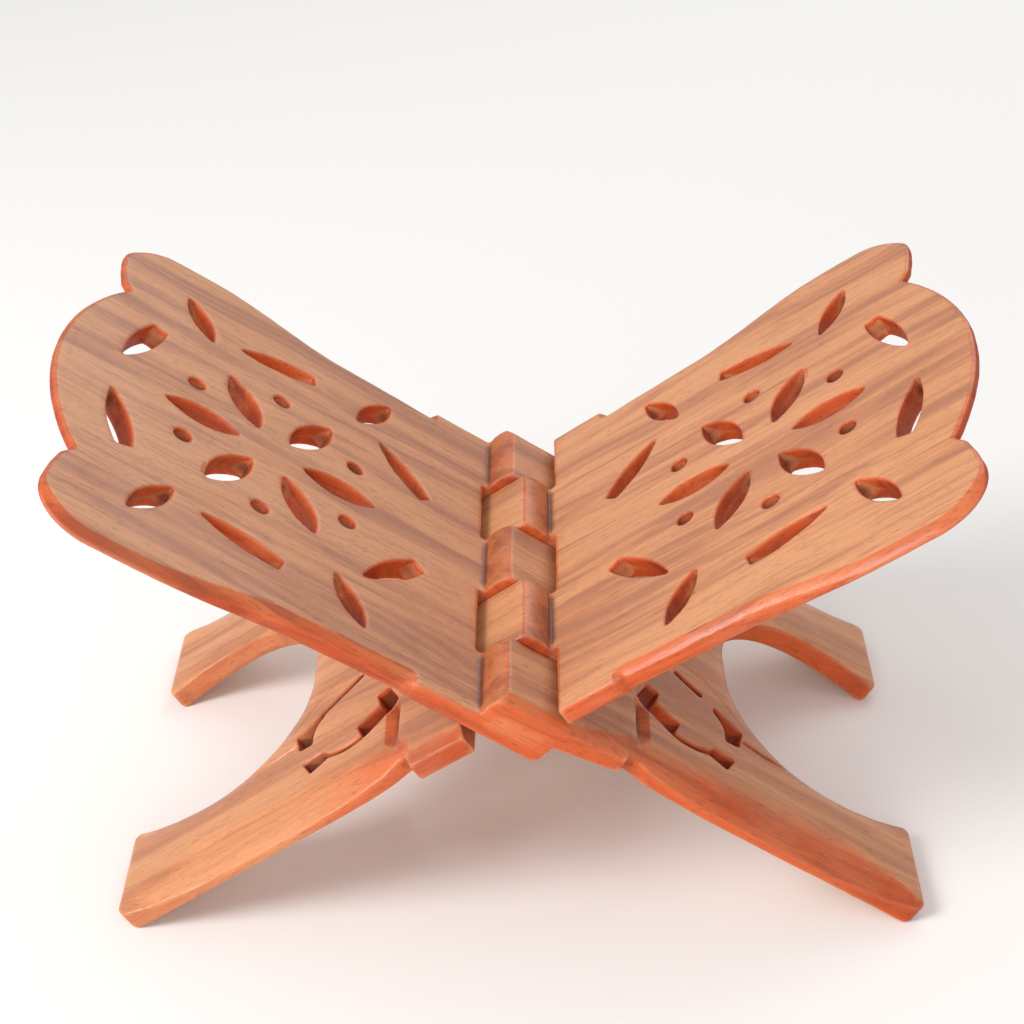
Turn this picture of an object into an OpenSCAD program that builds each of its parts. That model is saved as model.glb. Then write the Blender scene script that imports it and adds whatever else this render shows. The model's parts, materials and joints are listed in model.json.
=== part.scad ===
// Folding book stand. One hardwood plank is sawn through its thickness into two
// boards that cross in an X. They turn on knuckles left in the wood between
// them, like the fingers of two hands, so there is no pin and no hardware.
// Each board is a book rest on one side of the hinge and a pair of legs on the
// other. The hinge axis runs along Y, and the stand is drawn open on Z = 0.
//
// A board is drawn in its own frame: its legs run along +X and its rest along
// -X, with the hinge axis at the origin and the saw cut at Z = 0.

/* [Plank] */
// Thickness of the plank that both boards are sawn from
plank_t = 22.2; // [18:0.2:26]
// Gap that the saw leaves between the two boards
kerf = 1.2; // [0.8:0.1:1.6]
// Length of a leg, from the hinge axis to its foot
leg_len = 178.3; // [170:0.1:200]
// Length of a rest, from the hinge axis to the top of its middle lobe
rest_len = 202.9; // [196:0.1:225]

/* [Opening] */
// Slope of both boards from level, when the stand is open against its stop
slope = 33.2; // [31:0.1:40]
// Width of the flat worn on each foot where it meets the table
foot_flat = 4; // [2:0.5:6]

/* [Hinge] */
// Width across the hinge block
block_w = 200; // [196:1:206]
// Length of the hinge block, from the axis
block_len = 41.3; // [38:0.1:42]
// Number of knuckles, the odd ones on the left rest's board
knuckles = 5; // [3:2:7]
// Radius of the round core that joins a rest to its legs
core_r = 15; // [12:0.5:15.5]
// Gap between neighbouring knuckles
side_gap = 0.4; // [0.3:0.1:0.8]
// Gap left at the open stop
stop_gap = 0.3; // [0.2:0.1:0.5]
// Depth of the nick between the block and each leg
nick_d = 9; // [5:1:12]
// Depth of the nick between the block and each rest
rest_nick_d = 2.5; // [1:0.5:5]

/* [Rest] */
// Width across a rest's two side lobes
rest_w = 223; // [218:0.5:232]
// Width of a rest just past the nick
rest_neck_w = 199; // [192:1:200]
// Radius of the outer corner of a side lobe
lobe_r = 23; // [18:1:26]
// Radius of the middle lobe's edge
middle_r = 120; // [116:1:130]
// Distance from one notch between the lobes to the other
notch_w = 128; // [120:1:132]

/* [Legs] */
// Width across the two legs
leg_w = 192.8; // [188:0.1:196]
// Distance from the hinge axis to the top of the arch between the legs
arch_u = 93.5; // [92:0.5:98]
// Radius of the arch's shoulders
arch_r = 47.5; // [44:0.5:50]
// Width of the arch at its widest
arch_w = 110; // [104:1:114]
// Radius of the corners of each foot
foot_r = 4.5; // [2:0.5:8]

/* [Piercing] */
// Distance from the hinge axis to the centre of the rest's pierced rosette
rosette_u = 112; // [110:0.5:114]
// Distance from the rosette's centre to the inner tips of its ring of leaves
ring_r = 67.8; // [66:0.2:70]
// Radius of the tongue that the winding slot in each leg goes round
tongue_r = 17.5; // [15:0.5:19]

/* [Hidden] */
$fn = 120;
half_t = plank_t / 2;
leaf_t = half_t - kerf / 2;
block_v = block_w / 2;
knuckle_w = block_w / knuckles;
// The outer corners of two leaf ends meet when the stand is open.
leaf_start = half_t * tan(90 - slope) + stop_gap;
axis_h = leg_len * sin(slope) - kerf / 2 * cos(slope)
    - foot_flat * sin(slope) * cos(slope);
rest_v = rest_w / 2;
neck_v = rest_neck_w / 2;
notch_v = notch_w / 2;
leg_v = leg_w / 2;
knuckle_lap = 5;
ground_t = 10;
lobe_u = rest_len - 11.9;
// The inner shoulder of a side lobe: drops below its top, and distances from the notch
lobe_shoulder = [[1, 15], [3, 6], [7, 0]];
lobe_root = 16;
nick_u = [3.2, 5.7, 13.2];
nick_shoulder = 2.4;
leg_neck = [24, 0.9];
flare_start = 88;
flare_end = 150;
flare_steps = 8;
arch_c = [arch_u + arch_r, arch_w / 2 - arch_r];
arch_lower_r = 90;
petals = 6;
petal_u = 14;
petal_size = [32, 12];
dot_u = 41;
dot_r = 3.5;
ring_leaf_at = 11;
ring_leaf_turn = 97.5;
ring_leaf_size = [44, 9.4];
ring_leaf_cut = 35;
corner_leaf_u = 67;
corner_leaf_size = [29, 9];
tongue_c = [71.5, 50.5];
slot_w = 2.3;
// The stepped start of the slot that winds round the tongue
winding_start = [[47.5, 54.3], [52.5, 43.8], [57.5, 45.9], [55.8, 52.7],
    [66.3, 59.4], [64, 66], [61.5, 67.8], [52.5, 61]];
// The sector round the tongue that the slot's curved stretch fills
winding_sector = [[0, 0], [-13, 22.5], [0, 30], [20, 25]];
// Its wedge-shaped end
winding_end = [[77.8, 67.8], [83, 63.2], [91.9, 64.4], [87.6, 72.8]];
// The wedge past the tongue's tip
tip_wedge = [[84.2, 35.2], [97.3, 43.7], [94.9, 53.8], [86, 54.1]];
straight_start = [66.5, 24.5];
// Where the straight slot ends on each board's legs
left_rest_slot_end = [78.8, 32.1];
right_rest_slot_end = [86, 37.2];
wood = "peru";

// Its shape on both sides of the board's centre line
module both_sides() {
    children();
    mirror([0, 1]) children();
}

// The waste outside a rounded corner at the origin that points to +X, +Y
module corner_waste(r) {
    translate([-r, -r]) difference() {
        square(r + 1);
        circle(r);
    }
}

// A leaf with two pointed ends, from the origin along +X, of two equal arcs.
// Its size is [length, width].
module pointed_leaf(size) {
    r = (pow(size[0], 2) + pow(size[1], 2)) / (4 * size[1]);
    intersection() {
        translate([size[0] / 2, r - size[1] / 2]) circle(r);
        translate([size[0] / 2, size[1] / 2 - r]) circle(r);
    }
}

// A nick of some depth beside the hinge block, past which a leaf widens to edge_v
function nick_points(depth, edge_v) = [
    [block_len, block_v],
    [block_len + nick_u[0], block_v - depth],
    [block_len + nick_u[1], block_v - depth],
    [block_len + nick_u[2], edge_v - nick_shoulder]
];

// The side edge of a rest, which flares smoothly from the neck to the lobes
function flare_points() = [
    for (i = [0 : flare_steps])
        let (t = i / flare_steps, ease = t * t * (3 - 2 * t))
            [flare_start + t * (flare_end - flare_start), neck_v + ease * (rest_v - neck_v)]
];

// Outline of a rest: two side lobes and a broad middle lobe at its top
module rest_outline() {
    lobe_c = [lobe_u - lobe_r, rest_v - lobe_r];
    both_sides() {
        polygon(concat(
            [[leaf_start, -1], [leaf_start, block_v]],
            nick_points(rest_nick_d, neck_v + 1),
            flare_points(),
            [[lobe_c[0], rest_v], lobe_c, [lobe_u, lobe_c[1]]],
            [for (p = lobe_shoulder) [lobe_u - p[0], notch_v + p[1]]],
            [[lobe_u - lobe_root, -1]]
        ));
        translate(lobe_c) circle(lobe_r);
    }
    intersection() {
        translate([rest_len - middle_r, 0]) circle(middle_r);
        translate([block_len, -notch_v]) square([rest_len, notch_w]);
    }
}

// One leaf of the rosette's ring: pointed at one end and cut square at the other
module ring_leaf() {
    rotate(ring_leaf_at) translate([ring_r, 0]) rotate(ring_leaf_turn) intersection() {
        pointed_leaf(ring_leaf_size);
        translate([-1, -ring_leaf_size[1]]) square([ring_leaf_cut + 1, 2 * ring_leaf_size[1]]);
    }
}

// Pierced rosette of a rest: petals, drilled dots, a ring and corner leaves
module rosette() {
    step = 360 / petals;
    translate([rosette_u, 0]) {
        for (i = [0 : petals - 1]) rotate(i * step) {
            translate([petal_u, 0]) pointed_leaf(petal_size);
            rotate(step / 2) translate([dot_u, 0]) circle(dot_r);
        }
        both_sides() {
            for (i = [0 : 2]) rotate(i * step) ring_leaf();
            for (i = [1 : 2]) rotate(i * step)
                translate([corner_leaf_u, 0]) pointed_leaf(corner_leaf_size);
        }
    }
}

// The arch between the two legs, a horseshoe that narrows towards the feet
module arch() {
    translate([arch_u, -arch_c[1]]) square([2 * arch_r, 2 * arch_c[1]]);
    both_sides() intersection() {
        translate(arch_c) circle(arch_r);
        translate([0, -1]) square([arch_c[0], arch_w]);
    }
    intersection() {
        translate([arch_c[0], arch_lower_r - arch_w / 2]) circle(arch_lower_r);
        translate([arch_c[0], arch_w / 2 - arch_lower_r]) circle(arch_lower_r);
        translate([arch_c[0] - 1, -arch_w]) square([leg_len, 2 * arch_w]);
    }
}

// Outline of a pair of legs
module legs_outline() {
    inner_foot_v = arch_w / 2 - arch_lower_r
        + sqrt(pow(arch_lower_r, 2) - pow(leg_len - arch_c[0], 2));
    difference() {
        both_sides() polygon(concat(
            [[leaf_start, -1], [leaf_start, block_v]],
            nick_points(nick_d, leg_v),
            [[block_len + leg_neck[0], leg_v - leg_neck[1]], [2 * block_len, leg_v],
             [leg_len, leg_v], [leg_len, -1]]
        ));
        arch();
        both_sides() {
            translate([leg_len, leg_v]) corner_waste(foot_r);
            translate([leg_len, inner_foot_v]) mirror([0, 1]) corner_waste(foot_r);
        }
    }
}

// A sawn slot with square ends, from one point to another
module slot(from, to) {
    run = to - from;
    translate(from) rotate(atan2(run[1], run[0]))
        translate([0, -slot_w / 2]) square([norm(run), slot_w]);
}

// The piercing of one leg: a slot that winds round a tongue, a wedge past the
// tongue's tip, and a straight slot that ends at straight_end
module leg_piercing(straight_end) {
    polygon(winding_start);
    intersection() {
        translate(tongue_c) difference() {
            circle(tongue_r + slot_w);
            circle(tongue_r);
        }
        translate(tongue_c) polygon(winding_sector);
    }
    polygon(winding_end);
    difference() {
        polygon(tip_wedge);
        translate(tongue_c) circle(tongue_r);
    }
    slot(straight_start, straight_end);
}

// Cross-section of a knuckle, across the hinge axis
module knuckle_section() {
    straight = leaf_start + knuckle_lap;
    translate([0, kerf / 2]) square([straight, leaf_t]);
    translate([-straight, -half_t]) square([straight, leaf_t]);
    intersection() {
        circle(core_r);
        translate([-core_r, -half_t]) square([2 * core_r, plank_t]);
    }
}

// Every second knuckle, starting with the one at index first
module own_knuckles(first) {
    for (i = [first : 2 : knuckles - 1]) {
        low = i == 0 ? -block_v : -block_v + i * knuckle_w + side_gap / 2;
        high = i == knuckles - 1 ? block_v : -block_v + (i + 1) * knuckle_w - side_gap / 2;
        translate([0, high, 0]) rotate([90, 0, 0])
            linear_extrude(high - low) knuckle_section();
    }
}

// A whole board in its own frame
module board(first_knuckle, straight_end) {
    translate([0, 0, kerf / 2]) linear_extrude(leaf_t) difference() {
        legs_outline();
        both_sides() leg_piercing(straight_end);
    }
    mirror([1, 0, 0]) translate([0, 0, -half_t]) linear_extrude(leaf_t) difference() {
        rest_outline();
        rosette();
    }
    own_knuckles(first_knuckle);
}

// A board leant at the slope of the open stand, with its feet cut level
module leaning_board(first_knuckle, straight_end) {
    difference() {
        translate([0, 0, axis_h]) rotate([0, slope, 0]) board(first_knuckle, straight_end);
        translate([0, -leg_w, -ground_t]) cube([2 * leg_len, 2 * leg_w, ground_t]);
    }
}

// The board whose rest leans to the left, with the right pair of legs
module left_rest_board() {
    color(wood) leaning_board(0, left_rest_slot_end);
}

// The board whose rest leans to the right, with the left pair of legs
module right_rest_board() {
    color(wood) mirror([1, 0, 0]) leaning_board(1, right_rest_slot_end);
}

left_rest_board();
right_rest_board();
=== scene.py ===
"""The looks of a folding book stand: two hand-carved hardwood boards on a pale floor.

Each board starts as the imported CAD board, read as a signed distance field on a fine grid in the
board's own frame: x along the grain from the rest (-) to the feet (+), y along the hinge, and z
across the plank. The carver's work is done on that field, and the field then becomes one closed
mesh. Lengths are in metres, except in lists that say millimetres.
"""

import json
import math

import bpy
import numpy as np
import openvdb
from mathutils import Matrix, Vector


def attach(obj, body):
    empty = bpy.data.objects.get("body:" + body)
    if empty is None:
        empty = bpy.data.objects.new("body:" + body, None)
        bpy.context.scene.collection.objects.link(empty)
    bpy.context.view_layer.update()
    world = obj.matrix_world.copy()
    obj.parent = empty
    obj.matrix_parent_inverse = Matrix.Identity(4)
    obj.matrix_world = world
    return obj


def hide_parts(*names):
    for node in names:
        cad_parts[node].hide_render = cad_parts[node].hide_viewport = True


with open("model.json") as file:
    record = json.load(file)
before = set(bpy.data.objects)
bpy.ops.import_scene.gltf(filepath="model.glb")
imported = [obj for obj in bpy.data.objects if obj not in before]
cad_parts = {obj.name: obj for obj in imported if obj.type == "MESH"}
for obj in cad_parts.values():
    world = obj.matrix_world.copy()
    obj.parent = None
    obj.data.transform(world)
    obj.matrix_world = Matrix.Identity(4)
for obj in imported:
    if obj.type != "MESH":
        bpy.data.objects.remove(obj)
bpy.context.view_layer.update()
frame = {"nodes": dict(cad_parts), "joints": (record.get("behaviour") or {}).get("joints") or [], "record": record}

MM = 0.001

# The grid of the distance field, and how far from the surface it holds true distances
VOXEL = 0.5 * MM
BAND_VOXELS = 14
MARGIN_VOXELS = 4
ADAPTIVITY = 0.03

# Facts read from the frame. When the stand is open, both boards slope equally.
hinge = frame["joints"][0]
AXIS = np.array(hinge["pos_m"])
SLOPE = (math.pi - math.radians(hinge["range_deg"][1])) / 2

# Which way each board's legs point along the row's X
SIDES = {"left_rest_board": 1, "right_rest_board": -1}
PIECES = {"left_rest_board": "carved_left_rest_board", "right_rest_board": "carved_right_rest_board"}


# ---------------------------------------------------------------- the board's own frame


def board_axes(side):
    """Rows are the board's x, y and z directions in the row frame."""
    c, s = math.cos(SLOPE), math.sin(SLOPE)
    return np.array([[side * c, 0, -s], [0, 1, 0], [side * s, 0, c]])


def read_cad(node, side):
    """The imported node's welded points in the board's frame, and its triangles."""
    mesh = frame["nodes"][node].data
    mesh.calc_loop_triangles()
    points = np.empty(len(mesh.vertices) * 3, np.float64)
    mesh.vertices.foreach_get("co", points)
    corners = np.empty(len(mesh.loop_triangles) * 3, np.int32)
    mesh.loop_triangles.foreach_get("vertices", corners)
    points = (points.reshape(-1, 3) - AXIS) @ board_axes(side).T
    _, first, same = np.unique(np.round(points, 7), axis=0, return_index=True, return_inverse=True)
    return points[first], same.ravel()[corners].reshape(-1, 3)


# Points within the first distance of the hinge are on the block, and those past the second one on
# the rest's side are on the rest.
BLOCK_WITHIN, REST_PAST = 20 * MM, 60 * MM
FLAT_WITHIN = 0.05 * MM
STEEPEST = 3


class Board:
    """A board's distance field on a grid, with the sizes that the carving needs."""

    def __init__(self, node, side):
        self.points, self.triangles = read_cad(node, side)
        low, high = self.points.min(0), self.points.max(0)
        on_block = self.points[np.abs(self.points[:, 0]) < BLOCK_WITHIN]
        on_rest = self.points[self.points[:, 0] < -REST_PAST]
        self.leg_len, self.half_t = high[0], high[2]
        self.block_v = on_block[:, 1].max()
        self.book_face = on_rest[:, 2].max()
        self.start = np.floor(low / VOXEL).astype(int) - MARGIN_VOXELS
        shape = np.ceil(high / VOXEL).astype(int) + MARGIN_VOXELS + 1 - self.start
        self.x, self.y, self.z = (
            ((self.start[i] + np.arange(shape[i])) * VOXEL).astype(np.float32) for i in range(3)
        )
        self.field = self.read_field(tuple(shape))

    def read_field(self, shape):
        """Signed distances to the CAD surface at every grid point, negative in the wood."""
        transform = openvdb.createLinearTransform(voxelSize=VOXEL)
        points = self.points.astype(np.float32)
        grid = openvdb.FloatGrid.createLevelSetFromPolygons(
            points, triangles=self.triangles.astype(np.uint32), transform=transform, halfWidth=BAND_VOXELS
        )
        field = np.zeros(shape, np.float32)
        grid.copyToArray(field, ijk=tuple(int(i) for i in self.start))
        return field

    def outline(self, level):
        """The widest loop that bounds the flat face at height level, as 2-D segments."""
        flat = np.abs(self.points[self.triangles][:, :, 2] - level).max(1) < FLAT_WITHIN
        edges = self.triangles[flat][:, [0, 1, 1, 2, 2, 0]].reshape(-1, 2)
        _, first, counts = np.unique(np.sort(edges, 1), axis=0, return_index=True, return_counts=True)
        edges = edges[first[counts == 1]]
        loop = {point: point for point in edges.ravel().tolist()}

        def root(point):
            while loop[point] != point:
                point = loop[point]
            return point

        for a, b in edges.tolist():
            loop[root(a)] = root(b)
        roots = np.array([root(a) for a in edges[:, 0].tolist()])
        names = np.unique(roots)
        segments = self.points[edges][:, :, :2]
        spans = [np.ptp(segments[roots == name][:, :, 1]) for name in names]
        return segments[roots == names[np.argmax(spans)]]

    def cut_above(self, height):
        """Removes the wood above a height map."""
        self.cut(self.z[None, None, :] - height[:, :, None], height)

    def cut_below(self, height):
        """Removes the wood below a height map."""
        self.cut(height[:, :, None] - self.z[None, None, :], height)

    def cut(self, outside, height):
        slope_x, slope_y = np.gradient(height, VOXEL)
        steep = np.sqrt(1 + np.minimum(slope_x**2 + slope_y**2, STEEPEST**2))
        np.maximum(self.field, outside / steep[:, :, None], out=self.field)


def distance_to(board, segments):
    """Distance of each grid column from a set of 2-D segments."""
    x, y = board.x[:, None], board.y[None, :]
    nearest = np.full((len(board.x), len(board.y)), 1.0, np.float32)
    for (ax, ay), (bx, by) in segments.astype(np.float32):
        dx, dy = bx - ax, by - ay
        along = np.clip(((x - ax) * dx + (y - ay) * dy) / max(dx * dx + dy * dy, 1e-12), 0, 1)
        square = (x - ax - along * dx) ** 2 + (y - ay - along * dy) ** 2
        np.minimum(nearest, square, out=nearest)
    return np.sqrt(nearest)


def soften(field, passes):
    """Blurs a field along each axis. One pass spreads it by 0.7 of a voxel."""
    for _ in range(passes):
        for axis in range(3):
            ahead, behind = np.roll(field, -1, axis), np.roll(field, 1, axis)
            field = field * 0.5 + (ahead + behind) * 0.25
    return field


def spread(values, radius):
    """Averages values over a box of 2 radius + 1 cells, twice along each axis."""
    width = 2 * radius + 1
    for axis in (0, 1, 2, 0, 1, 2):
        rows = np.moveaxis(values, axis, 0)
        padded = np.pad(rows, [(radius + 1, radius), (0, 0), (0, 0)], mode="edge")
        total = np.cumsum(padded, axis=0, dtype=np.float64)
        rows = ((total[width:] - total[:-width]) / width).astype(np.float32)
        values = np.moveaxis(rows, 0, axis)
    return values


def ease(t):
    """A smooth step for t from 0 to 1."""
    return t * t * (3 - 2 * t)


def ramp(value, start, end):
    """0 below start, 1 above end, and smooth between them."""
    return ease(np.clip((value - start) / (end - start), 0, 1))


def hand_wobble(board, spacing, seed):
    """Smooth random unevenness with a spread of about 1, from a coarse random lattice."""
    rng = np.random.default_rng(seed)
    weights, counts = [], []
    for axis in (board.x, board.y, board.z):
        place = (axis - axis[0]) / spacing
        cell = np.floor(place).astype(int)
        t = ease(place - cell)
        w = np.zeros((len(axis), cell.max() + 2), np.float32)
        w[np.arange(len(axis)), cell] = 1 - t
        w[np.arange(len(axis)), cell + 1] = t
        weights.append(w)
        counts.append(w.shape[1])
    lattice = rng.normal(size=counts).astype(np.float32)
    wobble = np.tensordot(weights[0], lattice, (1, 0))
    wobble = np.tensordot(wobble, weights[1], (1, 1))
    return np.tensordot(wobble, weights[2], (1, 1))


# ---------------------------------------------------------------- the carver's cuts

BLOCK_LEN = 41.3 * MM

# A cut's width from the edge, and its depth at the edge
ARCH_BEVEL = (6 * MM, 1.0 * MM)
FOOT_BEVEL = (1.8 * MM, 0.5 * MM)
UNDER_EDGE = (1.2 * MM, 0.6 * MM)
REST_EDGE = (5.0 * MM, 2.9 * MM)
REST_END_EDGE = (1.6 * MM, 0.9 * MM)
BLOCK_REST_EDGE = (7 * MM, 3.2 * MM)

# Width in millimetres of the legs' broad bevel at shares of the leg's length. The back legs have
# less of it than the front ones.
LEG_BEVEL_AT = (0.24, 0.31, 0.42, 0.55, 0.78, 0.92, 1.0)
LEG_BEVEL_WIDTH = (8, 13, 17, 19, 20, 13, 3.5)
LEG_BEVEL_DEPTH = 0.35
BACK_LEG_SHARE = 0.6

# Shares of the block's half width and of the leg's length that tell the legs' edges apart
OUTER_EDGE_PAST = 0.83
ARCH_EDGE_WITHIN, ARCH_EDGE_PAST = 0.58, 0.5
FOOT_WITHIN = 2 * MM

# The bevel under a rest's edge gets wider and deeper towards its lobes.
REST_BEVEL_NEAR = (7 * MM, 2.6 * MM)
REST_BEVEL_FAR = (14 * MM, 6.8 * MM)
REST_BEVEL_FROM, REST_BEVEL_TO = 95 * MM, 150 * MM
# The rest's end, between its side lobes, keeps a crisper edge on the book's side.
REST_END_FROM, REST_END_TO = 150 * MM, 175 * MM
REST_END_V = (104 * MM, 88 * MM)

# Width and depth of the bevel on the legs' side of the hinge block, at its inner and outer end.
# The carver took more off the left rest's board.
BLOCK_BEVELS = {
    "left_rest_board": ((5 * MM, 2.5 * MM), (15 * MM, 6.2 * MM)),
    "right_rest_board": ((7 * MM, 2.4 * MM), (9 * MM, 3.2 * MM)),
}
BLOCK_BEVEL_FROM = 14 * MM
# How far that side of the block is planed in, at its inner and outer end
BLOCK_TAPERS = {"left_rest_board": (0.4 * MM, 5.5 * MM), "right_rest_board": (0.0, 0.6 * MM)}
TAPER_FROM, TAPER_START, TAPER_PAST = 16 * MM, 17 * MM, 3 * MM
TAPER_ABOVE = 0.3 * MM

# The cross cut beside the block: its place, the width of its wall and of its slope, and its depth
# in millimetres at distances from the centre line
CREASE_U = 47 * MM
CREASE_WALL, CREASE_SLOPE = 0.9 * MM, 5.5 * MM
CREASE_V = (0, 55, 64, 74, 92, 96)
CREASE_DEPTH = (0.3, 0.4, 2.9, 2.6, 0.9, 0)

# Lines incised on the legs, through points in millimetres, each with its width and depth
LEG_LINES = (
    (((62, 18.5), (72, 17), (82, 21), (91, 31), (98, 39)), 2.0, 0.5),
    (((97.5, 49.5), (107, 51.6), (117, 51.8)), 1.8, 1.3),
    (((60, 44.5), (70, 47.5), (80, 48)), 1.2, 0.25),
)

# Unevenness of the hand-worked faces: its spacing and height, coarse and fine
WOBBLES = ((17 * MM, 0.09 * MM), (6 * MM, 0.045 * MM))

# How sharply a cut falls off inside its edge: a soft edge, and a nearly flat bevel
SOFT, FLAT = 1.5, 1.25


def bevel(distance, width, depth, shape):
    """How far an edge is cut down: depth at the edge, nothing a width inside it."""
    return depth * (1 - np.clip(distance / width, 0, 1)) ** shape


def groove(distance, width, depth):
    """A V cut of a full width and a depth along a line."""
    return depth * np.clip(1 - 2 * distance / width, 0, 1)


def line(points):
    """Segments through points given in millimetres, on both sides of the centre line."""
    p = np.array(points) * MM
    one = np.stack([p[:-1], p[1:]], 1)
    return np.concatenate([one, one * [1, -1]])


def leg_bevel(board):
    """Width and depth of the broad bevel on the legs' outer edges."""
    width = np.interp(board.x, np.array(LEG_BEVEL_AT) * board.leg_len, np.array(LEG_BEVEL_WIDTH) * MM)
    share = np.where(board.y < 0, 1.0, BACK_LEG_SHARE)
    return width[:, None] * share, (LEG_BEVEL_DEPTH * width[:, None]) * share


def legs_cut(board):
    """How far the outer face of the legs is cut down along its edges."""
    edge = board.outline(board.half_t)
    middle = edge.mean(1)
    u, v = middle[:, 0], np.abs(middle[:, 1])
    outer = (u > BLOCK_LEN) & (v > OUTER_EDGE_PAST * board.block_v)
    arch = (u > ARCH_EDGE_PAST * board.leg_len) & (v < ARCH_EDGE_WITHIN * board.block_v)
    foot = u > board.leg_len - FOOT_WITHIN
    cut = bevel(distance_to(board, edge[outer & ~foot]), *leg_bevel(board), FLAT)
    cut = np.maximum(cut, bevel(distance_to(board, edge[arch & ~foot]), *ARCH_BEVEL, SOFT))
    cut = np.maximum(cut, bevel(distance_to(board, edge[foot]), *FOOT_BEVEL, SOFT))
    return cut * (board.x[:, None] > BLOCK_LEN)


def crease_cut(board):
    """The cross cut beside the hinge block: a wall on the block's side, and a slope up to the leaf."""
    x = np.abs(board.x) - CREASE_U
    profile = np.clip(1 - np.where(x < 0, -x / CREASE_WALL, x / CREASE_SLOPE), 0, 1)
    depth = np.interp(np.abs(board.y), np.array(CREASE_V) * MM, np.array(CREASE_DEPTH) * MM)
    return profile[:, None] * depth[None, :]


def leg_lines(board):
    """The border round the arch, the cut below the wedge and the vein on the tongue."""
    cuts = [groove(distance_to(board, line(points)), w * MM, d * MM) for points, w, d in LEG_LINES]
    return np.maximum.reduce(cuts)


def block_cuts(board, node):
    """The bevels along the hinge block's outer edges, on the legs' side and on the rest's side."""
    inside = (board.block_v - np.abs(board.y))[None, :]
    inner, outer = BLOCK_BEVELS[node]
    along = ramp(board.x, BLOCK_BEVEL_FROM, BLOCK_LEN)[:, None]
    width, depth = (a + (b - a) * along for a, b in zip(inner, outer))
    on_block = (np.abs(board.x) <= BLOCK_LEN + 1 * MM)[:, None]
    legs_side = bevel(inside, width, depth, FLAT) * on_block
    rest_side = bevel(inside, *BLOCK_REST_EDGE, SOFT) * on_block
    return legs_side, rest_side


def rest_cuts(board):
    """How far the rest's book face and outer face are cut down along its edge."""
    edge = board.outline(board.book_face)
    edge = edge[edge[:, :, 0].max(1) < -BLOCK_LEN]
    reach = distance_to(board, edge)
    on_rest = (board.x < -BLOCK_LEN)[:, None]
    wide, narrow = REST_END_V
    on_end = ramp(-board.x, REST_END_FROM, REST_END_TO)[:, None] * ramp(-np.abs(board.y), -wide, -narrow)
    width, depth = (a + (b - a) * on_end for a, b in zip(REST_EDGE, REST_END_EDGE))
    book_side = bevel(reach, width, depth, SOFT) * on_rest
    far = ramp(-board.x, REST_BEVEL_FROM, REST_BEVEL_TO)[:, None]
    width, depth = (a + (b - a) * far for a, b in zip(REST_BEVEL_NEAR, REST_BEVEL_FAR))
    return book_side, bevel(reach, width, depth, FLAT) * on_rest


def taper_block(board, node):
    """Planes the sides of the hinge block in towards its outer end, on the legs' side."""
    rows = (board.x > TAPER_FROM) & (board.x < BLOCK_LEN + TAPER_PAST)
    layers = board.z > TAPER_ABOVE
    start, end = BLOCK_TAPERS[node]
    along = (board.x[rows] - TAPER_START) / (BLOCK_LEN - TAPER_START)
    limit = board.block_v - start - (end - start) * np.clip(along, 0, 1)
    outside = (np.abs(board.y)[None, :] - limit[:, None])[:, :, None]
    part = np.ix_(rows, np.ones(len(board.y), bool), layers)
    board.field[part] = np.maximum(board.field[part], outside)


def under_cut(board):
    """How far the legs' inner face is cut up along its edge."""
    edge = board.outline(-board.book_face)
    edge = edge[edge[:, :, 0].min(1) > BLOCK_LEN]
    return bevel(distance_to(board, edge), *UNDER_EDGE, SOFT)


def carve(board, node, seed):
    """Does the carver's work on a board's field."""
    x = board.x[:, None]
    taper_block(board, node)
    board.field = soften(board.field, 1)

    legs_block, rest_block = block_cuts(board, node)
    legs = np.maximum(crease_cut(board), np.maximum(legs_cut(board), leg_lines(board)))
    book_side, outer_side = rest_cuts(board)
    nowhere = 1.0
    board.cut_above(board.half_t - np.maximum(legs_block, legs * (x > 0)))
    board.cut_above(np.where(x < -BLOCK_LEN, board.book_face - book_side, nowhere))
    board.cut_below(-board.half_t + np.maximum(rest_block, outer_side))
    board.cut_below(np.where(x > BLOCK_LEN, -board.book_face + under_cut(board), -nowhere))

    for step, (spacing, height) in enumerate(WOBBLES):
        board.field += height * hand_wobble(board, spacing, seed + step)
    board.field = soften(board.field, 1)


# ---------------------------------------------------------------- the mesh

# The facts that the wood needs are read from a coarser grid, in which the surface is blurred.
FACT_STEP = 2
FACT_BLUR = 2 * MM
EDGE_CELLS, HOLLOW_CELLS = 1, 3


def sample(board, values, points, step=1):
    """Values at points, by trilinear interpolation in a grid that keeps every step-th cell."""
    place = (points / VOXEL - board.start) / step
    cell = np.floor(place).astype(int)
    cell = np.clip(cell, 0, np.array(values.shape) - 2)
    t = place - cell
    total = np.zeros(len(points))
    for corner in np.ndindex(2, 2, 2):
        weight = np.prod(np.where(corner, t, 1 - t), axis=1)
        total += weight * values[tuple((cell + corner).T)]
    return total


def surface(board):
    """The points, triangles and four-sided faces of the field's surface."""
    grid = openvdb.FloatGrid(BAND_VOXELS * VOXEL)
    grid.transform = openvdb.createLinearTransform(voxelSize=VOXEL)
    grid.copyFromArray(board.field, ijk=tuple(int(i) for i in board.start))
    points, triangles, quads = grid.convertToPolygons(isovalue=0, adaptivity=ADAPTIVITY)
    faces = [list(map(int, f)) for f in quads] + [list(map(int, f)) for f in triangles]
    return points.astype(np.float64), faces


def normals(board, points):
    """The outward direction at each point, from the field's slope."""
    slopes = [np.gradient(board.field, VOXEL, axis=axis) for axis in range(3)]
    normal = np.stack([sample(board, slope, points) for slope in slopes], 1)
    size = np.linalg.norm(normal, axis=1, keepdims=True)
    return normal / np.maximum(size, 1e-6)


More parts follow.
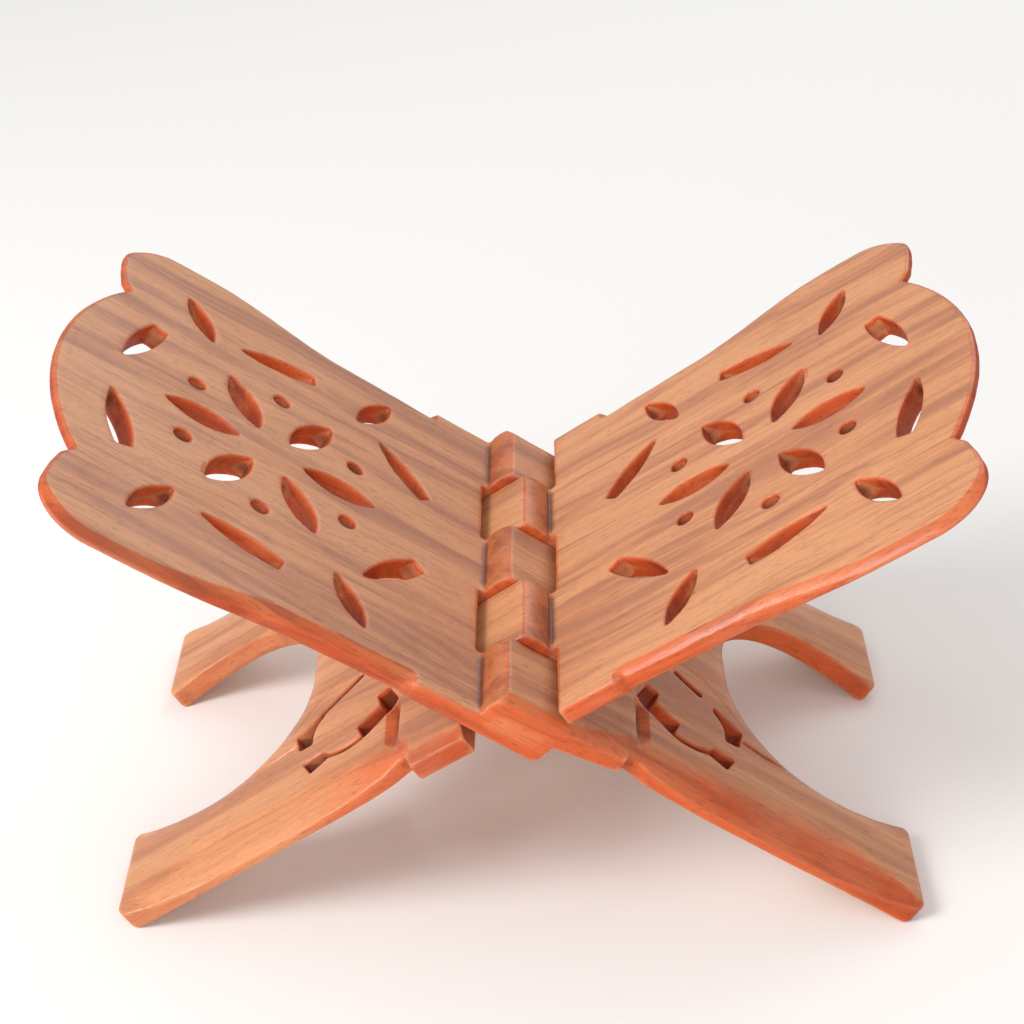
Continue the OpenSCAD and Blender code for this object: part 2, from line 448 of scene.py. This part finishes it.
def face_outward(points, faces, normal, side):
    """The faces, turned over if they face into the wood."""
    a, b, c = (points[[f[i] for f in faces]] for i in range(3))
    at_first = normal[[f[0] for f in faces]]
    outward = np.einsum("ij,ij->i", np.cross(b - a, c - a), at_first).sum()
    return [f[::-1] for f in faces] if outward * side < 0 else faces


def add_fact(mesh, name, kind, values):
    """Stores a value for each vertex, for the material to read."""
    fact = mesh.attributes.new(name, kind, "POINT")
    key = "vector" if kind == "FLOAT_VECTOR" else "value"
    fact.data.foreach_set(key, np.ascontiguousarray(values, np.float32).ravel())


def build_mesh(name, board, side):
    """One closed mesh of the board's field, in the row frame, with the facts that the wood needs."""
    points, faces = surface(board)
    normal = normals(board, points)
    faces = face_outward(points, faces, normal, side)
    mesh = bpy.data.meshes.new(name)
    mesh.from_pydata((points @ board_axes(side) + AXIS).tolist(), [], faces)
    mesh.update()

    # The edge and enclosed facts place the painted highlight on convex edges and the painted shade in holes and
    # slots
    solid = np.clip(0.5 - board.field[::FACT_STEP, ::FACT_STEP, ::FACT_STEP] / FACT_BLUR, 0, 1)
    near = sample(board, spread(solid, EDGE_CELLS), points, FACT_STEP)
    around = sample(board, spread(solid, HOLLOW_CELLS), points, FACT_STEP)
    add_fact(mesh, "board_place", "FLOAT_VECTOR", points)
    add_fact(mesh, "board_facing", "FLOAT_VECTOR", np.abs(normal))
    add_fact(mesh, "edge", "FLOAT", 0.5 - near)
    add_fact(mesh, "enclosed", "FLOAT", around - 0.5)
    for face in mesh.polygons:
        face.use_smooth = True
    piece = bpy.data.objects.new(name, mesh)
    bpy.context.scene.collection.objects.link(piece)
    return piece


# ---------------------------------------------------------------- wood


def rgb(red, green, blue):
    return (red, green, blue, 1.0)


PALE = rgb(0.70, 0.320, 0.145)
SALMON = rgb(0.60, 0.238, 0.100)
STREAK = rgb(0.35, 0.138, 0.082)
PORE = rgb(0.16, 0.055, 0.025)
# Dark red-brown of the painted shade inside holes and slots
SHADE_IN_HOLES = rgb(0.085, 0.016, 0.006)
# Lighter colour along convex edges: partly edge wear, partly painted highlight
WEAR_AND_EDGE_HIGHLIGHT = rgb(0.80, 0.46, 0.26)
# Redder colour of bevels and upright sides: partly stain, partly painted shade
SIDE_STAIN_AND_SHADE = rgb(0.94, 0.35, 0.16)
END_TINT = rgb(0.80, 0.66, 0.55)

# Cells per metre along and across the grain, for each scale of the wood's figure
DRIFT, DRIFT_REACH = (7, 22, 22), 0.020
BANDS = (4, 75, 75)
STREAKS = (8, 380, 380)
LINES = (14, 1100, 1100)
FIBRES = (70, 3200, 3200)
PORES = (200, 2100, 2100)
SMEAR = (30, 45, 45)
RIPPLE = (60, 160, 160)
RINGS = 62.0
RING_CENTRE = (0, 0.02, 0.055)

# How strongly the bevels on the rest and the block are reddened: partly stain on the cut grain, partly painted
# shade
BEVEL_STAIN_AND_SHADE = 0.78

# Each board's slot, the place and tilt of its growth rings, and how red its legs' bevels turn: partly stain,
# partly painted shade, strongest on the board whose legs face away from the key light
WOODS = {
    "left_rest_board": ("left_board_wood", (0.0, 0.0, 0.0), 0.05, 0.95),
    "right_rest_board": ("right_board_wood", (3.7, 1.9, 5.3), -0.07, 0.12),
}


class Nodes:
    """Short names for making and joining shader nodes."""

    def __init__(self, name):
        self.material = bpy.data.materials.new(name)
        self.material.use_nodes = True
        self.tree = self.material.node_tree
        self.shader = self.tree.nodes["Principled BSDF"]

    def add(self, kind, inputs=(), **settings):
        node = self.tree.nodes.new(kind)
        for key, value in settings.items():
            setattr(node, key, value)
        for key, value in dict(inputs).items():
            self.put(value, node.inputs[key])
        return node

    def put(self, value, socket):
        if isinstance(value, bpy.types.NodeSocket):
            self.tree.links.new(value, socket)
        else:
            socket.default_value = value

    def fact(self, name, output):
        return self.add("ShaderNodeAttribute", attribute_name=name).outputs[output]

    def axis(self, vector, name):
        return self.add("ShaderNodeSeparateXYZ", {0: vector}).outputs[name]

    def math(self, operation, a, b=0.0, clamp=False):
        return self.add("ShaderNodeMath", {0: a, 1: b}, operation=operation, use_clamp=clamp).outputs[0]

    def times(self, a, b):
        return self.math("MULTIPLY", a, b)

    def mix(self, factor, a, b, blend="MIX"):
        node = self.add("ShaderNodeMix", {0: factor, 6: a, 7: b}, data_type="RGBA", blend_type=blend)
        return node.outputs[2]

    def noise(self, place, scale, offset, detail=3.0, roughness=0.55):
        vector = self.add("ShaderNodeMapping", {0: place, 1: offset, 3: scale}).outputs[0]
        inputs = {"Vector": vector, "Scale": 1.0, "Detail": detail, "Roughness": roughness}
        return self.add("ShaderNodeTexNoise", inputs).outputs[0]

    def between(self, value, low, high, to_low=0.0, to_high=1.0):
        inputs = {0: value, 1: low, 2: high, 3: to_low, 4: to_high}
        return self.add("ShaderNodeMapRange", inputs, interpolation_type="SMOOTHSTEP").outputs[0]


def bend_grain(n, place, offset):
    """The place moved by a slow random drift, so that the grain isn't straight."""
    scaled = n.add("ShaderNodeMapping", {0: place, 1: offset, 3: DRIFT}).outputs[0]
    drift = n.add("ShaderNodeTexNoise", {"Vector": scaled, "Scale": 1.0}).outputs[1]
    drift = n.add("ShaderNodeVectorMath", {0: drift, 1: (0.5, 0.5, 0.5)}, operation="SUBTRACT").outputs[0]
    drift = n.add("ShaderNodeVectorMath", {0: drift, 3: DRIFT_REACH}, operation="SCALE").outputs[0]
    return n.add("ShaderNodeVectorMath", {0: place, 1: drift}, operation="ADD").outputs[0]


def growth_rings(n, bent, tilt):
    """Growth rings round a centre beside the plank, tilted so that they run out along it."""
    turned = n.add("ShaderNodeMapping", {0: bent, 1: RING_CENTRE, 2: (0, tilt, tilt / 2)}).outputs[0]
    inputs = {"Vector": turned, "Scale": RINGS, "Distortion": 1.2, "Detail": 2.0, "Detail Scale": 0.6}
    return n.add("ShaderNodeTexWave", inputs, wave_type="RINGS", rings_direction="X").outputs[1]


def wood_figure(n, place, along, offset, tilt, pore):
    """The colour of the bare wood: bands, streaks, lines, fibres and pores. The legs are calmer."""
    bent = bend_grain(n, place, offset)
    rings = growth_rings(n, bent, tilt)
    bands = n.noise(bent, BANDS, offset, 5.0, 0.62)
    streaks = n.noise(bent, STREAKS, offset, 4.0, 0.65)
    lines = n.noise(bent, LINES, offset, 2.0, 0.6)
    fibres = n.noise(place, FIBRES, offset, 2.0, 0.6)
    lively = n.between(along, 0.02, 0.08, 0.9, 0.6)
    dark = n.times(n.between(bands, 0.47, 0.60), n.between(rings, 0.2, 0.8, 0.45, 1.0))
    dark = n.math("ADD", dark, n.between(streaks, 0.53, 0.64, 0.0, 0.45), clamp=True)
    tone = n.mix(n.between(bands, 0.38, 0.62), PALE, SALMON)
    tone = n.mix(n.times(n.times(dark, 0.72), lively), tone, STREAK)
    tone = n.mix(n.times(n.between(lines, 0.54, 0.66, 0.0, 0.42), lively), tone, STREAK)
    tone = n.mix(n.between(fibres, 0.35, 0.75, 0.0, 0.20), tone, STREAK)
    return n.mix(pore, tone, PORE), fibres


def stain_and_shade_edges(n, tone, along, facing, smear, leg_stain_and_shade):
    """Redder bevels and sides (partly stain, partly painted shade), painted shade in slots and holes, natural wood
    in the rest's holes and on the core, and lighter edges (partly wear, partly painted highlight).
    """
    edge = n.fact("edge", "Fac")
    enclosed = n.fact("enclosed", "Fac")
    upward = n.axis(facing, "Z")
    in_hole = n.times(n.between(enclosed, -0.05, 0.015), n.between(upward, 0.9, 0.6))

    # Bevels and upright sides turn redder: partly stain soaked into the cut grain, partly painted shade of faces
    # turned from the light
    bevelled = n.times(n.between(upward, 0.985, 0.93), n.between(along, 0.05, 0.10, BEVEL_STAIN_AND_SHADE, leg_stain_and_shade))
    upright = n.between(upward, 0.9, 0.6, 0.0, 0.32)
    side = n.math("ADD", bevelled, upright)
    side = n.math("MULTIPLY", side, n.between(smear, 0.3, 0.7, 0.75, 1.1), clamp=True)
    bare = n.times(in_hole, n.between(along, -0.04, 0.04, 0.62, 0.0))
    on_core = n.between(n.math("ABSOLUTE", along), 0.02, 0.03, 0.7, 0.0)
    on_core = n.times(on_core, n.between(n.axis(facing, "X"), 0.5, 0.85))
    side = n.times(side, n.math("SUBTRACT", 1.0, n.math("MAXIMUM", bare, on_core)))
    tone = n.mix(side, tone, SIDE_STAIN_AND_SHADE, "MULTIPLY")
    tone = n.mix(n.between(n.axis(facing, "X"), 0.6, 0.95), tone, END_TINT, "MULTIPLY")

    # Painted shade: the walls of the legs' holes, and places enclosed by wood (half as much on the rest), are
    # darkened towards a dark red-brown
    slot_shade = n.times(in_hole, n.between(along, 0.04, 0.05, 0.0, 0.58))
    hole_shade = n.times(n.between(enclosed, 0.05, 0.22, 0.0, 0.9), n.between(along, -0.05, -0.04, 0.5, 1.0))
    hole_shade = n.math("MAXIMUM", hole_shade, slot_shade)
    tone = n.mix(hole_shade, tone, SHADE_IN_HOLES)
    # Convex edges are lightened: partly edge wear, partly a painted highlight
    return n.mix(n.between(edge, 0.05, 0.2, 0.0, 0.22), tone, WEAR_AND_EDGE_HIGHLIGHT)


def lacquer(n, facing, smear, pore):
    """A satin coat, uneven on the faces and thin on upright walls."""
    wall = n.between(n.axis(facing, "Z"), 0.7, 0.3)
    rough = n.between(smear, 0.3, 0.7, 0.30, 0.42)
    rough = n.math("ADD", rough, n.times(pore, 0.25))
    rough = n.math("ADD", rough, n.times(wall, 0.25))
    n.put(rough, n.shader.inputs["Roughness"])
    n.put(0.36, n.shader.inputs["Specular IOR Level"])
    n.put(n.times(n.math("SUBTRACT", 1.0, wall), 0.16), n.shader.inputs["Coat Weight"])
    n.put(0.16, n.shader.inputs["Coat Roughness"])


def relief(n, place, offset, fibres, pore):
    """Fine relief: fibres, sunken pores and the ripple that a plane leaves."""
    height = n.math("SUBTRACT", n.times(fibres, 0.5), n.times(pore, 1.2))
    height = n.math("ADD", height, n.times(n.noise(place, RIPPLE, offset, 2.0), 1.2))
    bump = n.add("ShaderNodeBump", {"Strength": 0.35, "Distance": 0.25 * MM, "Height": height})
    n.put(bump.outputs[0], n.shader.inputs["Normal"])


def wood(name, offset, ring_tilt, leg_stain_and_shade):
    """Oiled and lacquered hardwood with its grain along the board's x, and painted shade and highlight in its
    colour.
    """
    n = Nodes(name)
    place = n.fact("board_place", "Vector")
    facing = n.fact("board_facing", "Vector")
    along = n.axis(place, "X")
    smear = n.noise(place, SMEAR, offset)
    pore = n.between(n.noise(place, PORES, offset, 1.0, 0.5), 0.65, 0.73, 0.0, 0.55)
    tone, fibres = wood_figure(n, place, along, offset, ring_tilt, pore)
    tone = stain_and_shade_edges(n, tone, along, facing, smear, leg_stain_and_shade)
    n.put(tone, n.shader.inputs["Base Color"])
    lacquer(n, facing, smear, pore)
    relief(n, place, offset, fibres, pore)
    return n.material


# ---------------------------------------------------------------- the two boards

FIRST_SEED, SEED_STEP = 40, 10


def make_board(index, node):
    side = SIDES[node]
    board = Board(node, side)
    carve(board, node, FIRST_SEED + SEED_STEP * index)
    piece = build_mesh(PIECES[node], board, side)
    slot, offset, ring_tilt, leg_stain_and_shade = WOODS[node]
    piece.data.materials.append(wood(slot, offset, ring_tilt, leg_stain_and_shade))
    body = next(b for b, nodes in frame["record"]["behaviour"]["bodies"].items() if node in nodes)
    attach(piece, body)
    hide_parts(node)


# ---------------------------------------------------------------- floor, light and camera

FLOOR_SIZE = 12


def make_floor():
    """A plain pale floor."""
    bpy.ops.mesh.primitive_plane_add(size=FLOOR_SIZE)
    floor = bpy.context.object
    floor.name = "floor"
    n = Nodes("floor_paper")
    n.put(rgb(0.93, 0.925, 0.92), n.shader.inputs["Base Color"])
    n.put(0.75, n.shader.inputs["Roughness"])
    floor.data.materials.append(n.material)


def soft_light(name, place, size, power, colour):
    """A square area light that looks at the hinge."""
    data = bpy.data.lights.new(name, "AREA")
    data.size, data.energy, data.color = size, power, colour
    light = bpy.data.objects.new(name, data)
    light.location = place
    towards = Vector((0, 0, AXIS[2])) - Vector(place)
    light.rotation_euler = towards.to_track_quat("-Z", "Y").to_euler()
    bpy.context.scene.collection.objects.link(light)


def make_lights():
    soft_light("key", (-1.25, -0.75, 1.2), 0.8, 24.0, (1.0, 0.985, 0.96))
    soft_light("front", (0.1, -1.7, 0.7), 1.1, 8.0, (1.0, 0.98, 0.95))
    soft_light("back", (0.6, 1.3, 1.3), 1.2, 7.0, (1.0, 0.99, 0.98))
    world = bpy.data.worlds.new("studio")
    world.use_nodes = True
    sky = world.node_tree.nodes["Background"]
    sky.inputs["Color"].default_value = rgb(1.0, 0.99, 0.98)
    sky.inputs["Strength"].default_value = 0.56
    bpy.context.scene.world = world


CAMERA_FROM_HINGE = Vector((0.0124, -0.7403, 0.4790))
CAMERA_DOWN = math.radians(31.09)
CAMERA_LEFT = math.radians(1.10)
CAMERA_ROLL = math.radians(-1.17)
LENS_MM, SENSOR_MM = 77.57, 36.0


def make_camera():
    """The reader's view: in front of the stand, looking down at it."""
    level = math.cos(CAMERA_DOWN)
    ahead = Vector((-math.sin(CAMERA_LEFT) * level, math.cos(CAMERA_LEFT) * level, -math.sin(CAMERA_DOWN)))
    right = ahead.cross(Vector((0, 0, 1))).normalized()
    up = right.cross(ahead)
    c, s = math.cos(CAMERA_ROLL), math.sin(CAMERA_ROLL)
    right, up = c * right + s * up, c * up - s * right
    data = bpy.data.cameras.new("camera")
    data.lens, data.sensor_width = LENS_MM, SENSOR_MM
    camera = bpy.data.objects.new("camera", data)
    turn = Matrix((right, up, -ahead)).transposed().to_4x4()
    camera.matrix_world = Matrix.Translation(Vector(AXIS) + CAMERA_FROM_HINGE) @ turn
    bpy.context.scene.collection.objects.link(camera)
    bpy.context.scene.camera = camera


make_camera()
make_floor()
make_lights()
for index, node in enumerate(SIDES):
    make_board(index, node)
bpy.context.scene.view_settings.view_transform = "Standard"
